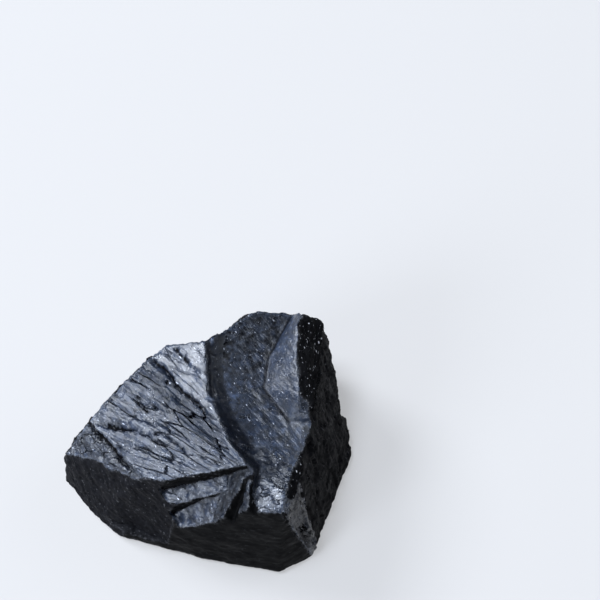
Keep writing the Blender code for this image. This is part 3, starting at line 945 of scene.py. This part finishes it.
# A finish's sizes are in millimetres, and lie across the grain where it has one. Flecks, dashes and cracks
# show where a noise is over the bar, so a higher bar makes fewer.
silkyLook = {
    "dark": (0.005, 0.008, 0.015, 1.0),
    "light": (0.016, 0.024, 0.043, 1.0),
    # the colour of the flecks and dashes, which are painted glints
    "glintSpeck": (0.60, 0.63, 0.70, 1.0),
    "worn": (0.13, 0.15, 0.19, 1.0),
    "roughest": 0.42,
    "smoothest": 0.24,
    "ior": 1.6,
    "specular": 0.5,
    "mottle": 1.9,
    "sliverSize": 1.3, "sliverLean": 0.70, "sliverStep": 0.25,
    "streakSize": 0.8, "streakDepth": 0.31,
    "grainSize": 0.42, "grainDepth": 0.15,
    "fleckBar": 0.40,
    "dashSize": 0.36, "dashBar": 0.42,
    "crackSize": 2.8, "crackWidth": 0.058, "crackBar": -0.08, "crackDepth": 0.45,
    "shadeDullsGloss": True,
}
# the dull finish: rougher than the silky one, and as painted shade far darker and much less glossy
dullShadedLook = {
    "dark": (0.0016, 0.0016, 0.0020, 1.0),
    "light": (0.0050, 0.0050, 0.0058, 1.0),
    # the colour of the flecks and dashes, which are painted glints
    "glintSpeck": (0.32, 0.32, 0.33, 1.0),
    "worn": (0.18, 0.18, 0.19, 1.0),
    "roughest": 0.75,
    "smoothest": 0.50,
    "ior": 1.5,
    "specular": 0.04,
    "mottle": 0.5,
    "sliverSize": 1.6, "sliverLean": 0.5, "sliverStep": 0.2,
    "streakSize": 0.9, "streakDepth": 0.25,
    "grainSize": 0.35, "grainDepth": 0.05,
    "fleckBar": 0.48,
    "dashSize": 0.45, "dashBar": 0.34,
    "crackSize": 4.5, "crackWidth": 0.030, "crackBar": 0.20, "crackDepth": 0.20,
    "shadeDullsGloss": False,
}
finish = {      # what both finishes share
    "streakSpan": (-0.35, 0.45),        # noise over this span goes from the dark colour to the light one
    "mottleSize": 2.2,
    "patchSize": 5.0, "patchSpan": 0.35,        # smoother and duller patches
    "fleckSize": 0.32,
    "speckBand": 0.08,                  # flecks and dashes fade in over this much noise
    "frayedSize": 0.9, "frayedSpan": (-0.10, 0.22),     # how worn edges are broken up
    "crackFiner": (1.0, 1.6, 1.0),      # the net's cells are so many times finer each way
    # the near-black colour of painted shade
    "paintedShadeColour": (0.001, 0.001, 0.0015, 1.0),
    "leastSlivers": 0.05, "leastStreaks": 0.05, "leastGrain": 0.70,     # what is left at no weight
}


def attributeAt(tree, name, row):
    return addNode(tree, "ShaderNodeAttribute", (-3000, row), {"attribute_name": name}).outputs


def spanned(tree, row, value, low, high):
    # 0 below the low value, 1 above the high one
    return addNode(tree, "ShaderNodeMapRange", (-900, row), None, {"From Min": low, "From Max": high},
                   {"Value": value}).outputs[0]


def mixColour(tree, place, factor, first, second):
    node = addNode(tree, "ShaderNodeMix", place, {"data_type": "RGBA"}, links={0: factor})
    feed(tree, node.inputs[6], first)
    feed(tree, node.inputs[7], second)
    return node.outputs[2]


def stoneColour(tree, look, grain, inMm, streaks):
    # streaked from dark to light, mottled, with flecks and dashes of painted glint, and paler where an edge
    # is worn
    light = spanned(tree, 900, streaks, *finish["streakSpan"])
    colour = mixColour(tree, (-500, 800), light, look["dark"], look["light"])
    # scaled by the tone, which in the bowl holds its painted shading and highlight strip
    colour = vectorNode(tree, (-400, 900), "SCALE", colour, scale=attributeAt(tree, "tone", 1000)["Fac"])
    mottle = noiseSpan(tree, (-2800, 1600), inMm, finish["mottleSize"], seed=6.0, detail=4.0, roughness=0.65)
    mottle = mathNode(tree, (-700, 1100), "MULTIPLY_ADD", mottle, look["mottle"], 1.0)
    colour = vectorNode(tree, (-350, 1000), "SCALE", colour, scale=mottle)
    flecks = noiseSpan(tree, (-2800, 500), inMm, finish["fleckSize"], seed=7.0, detail=1.0)
    dashes = noiseSpan(tree, (-2800, 1300), grain, look["dashSize"], seed=17.0, detail=1.0)
    for row, specks, bar, name in ((500, flecks, look["fleckBar"], "fleck"),
                                   (1300, dashes, look["dashBar"], "dash")):
        specks = spanned(tree, row, specks, bar, bar + finish["speckBand"])
        specks = mathNode(tree, (-700, row), "MULTIPLY", specks, attributeAt(tree, name, row - 100)["Fac"])
        colour = mixColour(tree, (-300, row), specks, colour, look["glintSpeck"])
    frayed = noiseSpan(tree, (-2800, 200), inMm, finish["frayedSize"], seed=4.0, detail=3.0, roughness=0.7)
    frayed = spanned(tree, 200, frayed, *finish["frayedSpan"])
    worn = mathNode(tree, (-700, 200), "MULTIPLY", attributeAt(tree, "worn", 200)["Fac"], frayed)
    return mixColour(tree, (-100, 600), worn, colour, look["worn"])


def stoneBump(tree, look, grain, inMm, streaks, lines):
    def weighted(row, value, name, least):
        # less of the value where the attribute is small
        share = attributeAt(tree, name, row - 100)["Fac"]
        share = mathNode(tree, (-1000, row), "MULTIPLY_ADD", share, 1 - least, least)
        return mathNode(tree, (-800, row), "MULTIPLY", value, share)

    slivers = tiltedPlates(tree, (-2800, -1600), grain, look["sliverSize"], seed=5.0,
                           lean=look["sliverLean"], step=look["sliverStep"], drift=0.6)
    fine = noiseSpan(tree, (-2800, -1000), inMm, look["grainSize"], seed=9.0)
    heights = [(look["sliverSize"], weighted(-1600, slivers, "sliver", finish["leastSlivers"])),
               (-look["crackDepth"], lines),
               (look["streakDepth"] / 2, weighted(-1300, streaks, "streak", finish["leastStreaks"])),
               (look["grainDepth"] / 2, weighted(-1000, fine, "ridge", finish["leastGrain"]))]
    normal = None
    for column, (depth, height) in zip((-600, -500, -400, -200), heights):
        bump = addNode(tree, "ShaderNodeBump", (column, -900), None,
                       {"Strength": 1.0, "Distance": depth * metresPerMm}, {"Height": height})
        feed(tree, bump.inputs["Normal"], normal)
        normal = bump.outputs[0]
    return normal


def stoneMaterial(name, look):
    material = bpy.data.materials.new(name)
    material.use_nodes = True
    tree = material.node_tree
    shader = tree.nodes["Principled BSDF"]
    shader.inputs["IOR"].default_value = look["ior"]
    shader.inputs["Specular IOR Level"].default_value = look["specular"]
    shader.inputs["Metallic"].default_value = 0.0
    grain = attributeAt(tree, "grainPlace", 600)["Vector"]
    where = addNode(tree, "ShaderNodeTexCoord", (-3200, 0)).outputs["Object"]
    inMm = addNode(tree, "ShaderNodeMapping", (-3000, 0), None,
                   {"Scale": [1 / metresPerMm] * 3}, {"Vector": where}).outputs[0]

    streaks = noiseSpan(tree, (-2800, 900), grain, look["streakSize"], seed=2.0, detail=4.0, roughness=0.62)
    colour = stoneColour(tree, look, grain, inMm, streaks)
    squeezed = vectorNode(tree, (-2980, -2300), "MULTIPLY", grain, finish["crackFiner"])
    lines = crackLines(tree, (-2800, -2300), squeezed, look["crackSize"], look["crackWidth"],
                       look["crackBar"])
    lines = mathNode(tree, (-1000, -2300), "MULTIPLY", lines, attributeAt(tree, "plate", -2400)["Fac"])
    # painted shade: the shade attribute and the crack net darken the colour towards near black
    paintedShade = mathNode(tree, (-700, 0), "MAXIMUM", attributeAt(tree, "shade", 0)["Fac"], lines)
    paintedShade = addNode(tree, "ShaderNodeClamp", (-500, 0), links={0: paintedShade}).outputs[0]
    colour = mixColour(tree, (100, 500), paintedShade, colour, finish["paintedShadeColour"])
    tree.links.new(colour, shader.inputs["Base Color"])
    # on the silky finish painted shade also takes away gloss
    if look["shadeDullsGloss"]:
        gloss = mathNode(tree, (-300, 0), "MULTIPLY_ADD", paintedShade, -look["specular"], look["specular"])
        tree.links.new(gloss, shader.inputs["Specular IOR Level"])

    patches = noiseSpan(tree, (-2800, -300), inMm, finish["patchSize"], seed=1.0, detail=3.0)
    rough = addNode(tree, "ShaderNodeMapRange", (-400, -300), None,
                    {"From Min": -finish["patchSpan"], "From Max": finish["patchSpan"],
                     "To Min": look["smoothest"], "To Max": look["roughest"]}, {"Value": patches}).outputs[0]
    tree.links.new(rough, shader.inputs["Roughness"])
    tree.links.new(stoneBump(tree, look, grain, inMm, streaks, lines), shader.inputs["Normal"])
    return material


stage = {
    "floorSize": 20.0,
    "floorDrop": 0.0001,            # the floor lies this far below the seat
    "floorColour": (0.20, 0.195, 0.19, 1.0),
    "floorRoughness": 0.9,
    "floorSpecular": 0.1,
    "floorGlow": 0.400,
    "floorGlowColour": (0.97, 0.98, 1.0, 1.0),
    "elevation": 60.0,              # degrees the camera looks down
    "lens": 70.0, "sensor": 36.0,   # millimetres
    "distance": 0.372,              # metres
    "nearest": 0.01,                # nothing nearer than this is seen
    "lookAt": (0.0265, 0.0552, 0.0),
    "skyBright": (0.31, 0.37, 0.49, 1.0),
    "skyDim": (0.03, 0.035, 0.05, 1.0),
    "skyTowards": (-0.85, -0.10, 0.40),     # where the sky is brightest
    "skySpan": (-0.5, 0.9),         # from dim to bright, over this span of facing that way
}
lights = {      # the way from the stone to the light, its distance, size, power and colour
    "key": ((-0.60, 0.40, 0.69), 2.4, 1.03, 72.0, (0.90, 0.96, 1.06)),
    "fill": ((-0.69, -0.57, 0.45), 2.4, 1.03, 52.0, (0.86, 0.94, 1.07)),
    "top": ((-0.25, -0.05, 0.97), 2.4, 0.69, 56.0, (0.86, 0.94, 1.07)),
    "side": ((0.75, 0.30, 0.60), 2.4, 1.71, 20.5, (0.88, 0.95, 1.06)),
}


def layFloor():
    half = stage["floorSize"] / 2
    mesh = bpy.data.meshes.new("floor")
    corners = [(-half, -half), (half, -half), (half, half), (-half, half)]
    mesh.from_pydata([(x, y, -stage["floorDrop"]) for x, y in corners], [], [(0, 1, 2, 3)])
    floor = bpy.data.objects.new("floor", mesh)
    bpy.context.collection.objects.link(floor)
    material = bpy.data.materials.new("paleFloor")
    material.use_nodes = True
    shader = material.node_tree.nodes["Principled BSDF"]
    shader.inputs["Base Color"].default_value = stage["floorColour"]
    shader.inputs["Roughness"].default_value = stage["floorRoughness"]
    shader.inputs["Specular IOR Level"].default_value = stage["floorSpecular"]
    shader.inputs["Emission Color"].default_value = stage["floorGlowColour"]
    shader.inputs["Emission Strength"].default_value = stage["floorGlow"]
    mesh.materials.append(material)
    return floor


def softLight():
    for name, (way, distance, size, power, colour) in lights.items():
        towards = Vector(way).normalized()
        light = bpy.data.lights.new(name, "AREA")
        light.shape = "DISK"
        light.size = size
        light.energy = power
        light.color = colour
        lamp = bpy.data.objects.new(name, light)
        lamp.location = towards * distance
        lamp.rotation_euler = towards.to_track_quat("Z", "Y").to_euler()
        bpy.context.collection.objects.link(lamp)

    world = bpy.context.scene.world or bpy.data.worlds.new("studio")
    bpy.context.scene.world = world
    world.use_nodes = True
    tree = world.node_tree
    tree.nodes.clear()
    way = addNode(tree, "ShaderNodeTexCoord", (-800, 0)).outputs["Generated"]
    lean = vectorNode(tree, (-600, 0), "DOT_PRODUCT", way, Vector(stage["skyTowards"]).normalized())
    share = spanned(tree, 0, lean, *stage["skySpan"])
    colour = mixColour(tree, (-200, 0), share, stage["skyDim"], stage["skyBright"])
    sky = addNode(tree, "ShaderNodeBackground", (0, 0), None, {"Strength": 1.0}, {"Color": colour})
    addNode(tree, "ShaderNodeOutputWorld", (200, 0), links={"Surface": sky.outputs[0]})


def setCamera():
    camera = bpy.data.cameras.new("camera")
    camera.lens = stage["lens"]
    camera.sensor_width = stage["sensor"]
    camera.clip_start = stage["nearest"]
    viewer = bpy.data.objects.new("camera", camera)
    lift = math.radians(stage["elevation"])
    back = Vector((0.0, -math.cos(lift), math.sin(lift)))
    viewer.location = Vector(stage["lookAt"]) + back * stage["distance"]
    viewer.rotation_euler = (math.pi / 2 - lift, 0.0, 0.0)
    bpy.context.collection.objects.link(viewer)
    bpy.context.scene.camera = viewer


silkyStone = stoneMaterial("silkyStone", silkyLook)
dullShadedStone = stoneMaterial("dullShadedStone", dullShadedLook)
print("finishes made")
agate = carvedStone(skinnedStone(brokenBlock()), silkyStone, dullShadedStone)
triangles = sum(len(face.vertices) - 2 for face in agate.data.polygons)
print("stone carved:", len(agate.data.vertices), "points,", triangles, "triangles")
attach(agate, "root")
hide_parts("agate")

floor = layFloor()
softLight()
setCamera()
bpy.context.scene.view_settings.view_transform = "Standard"
print("stage set")
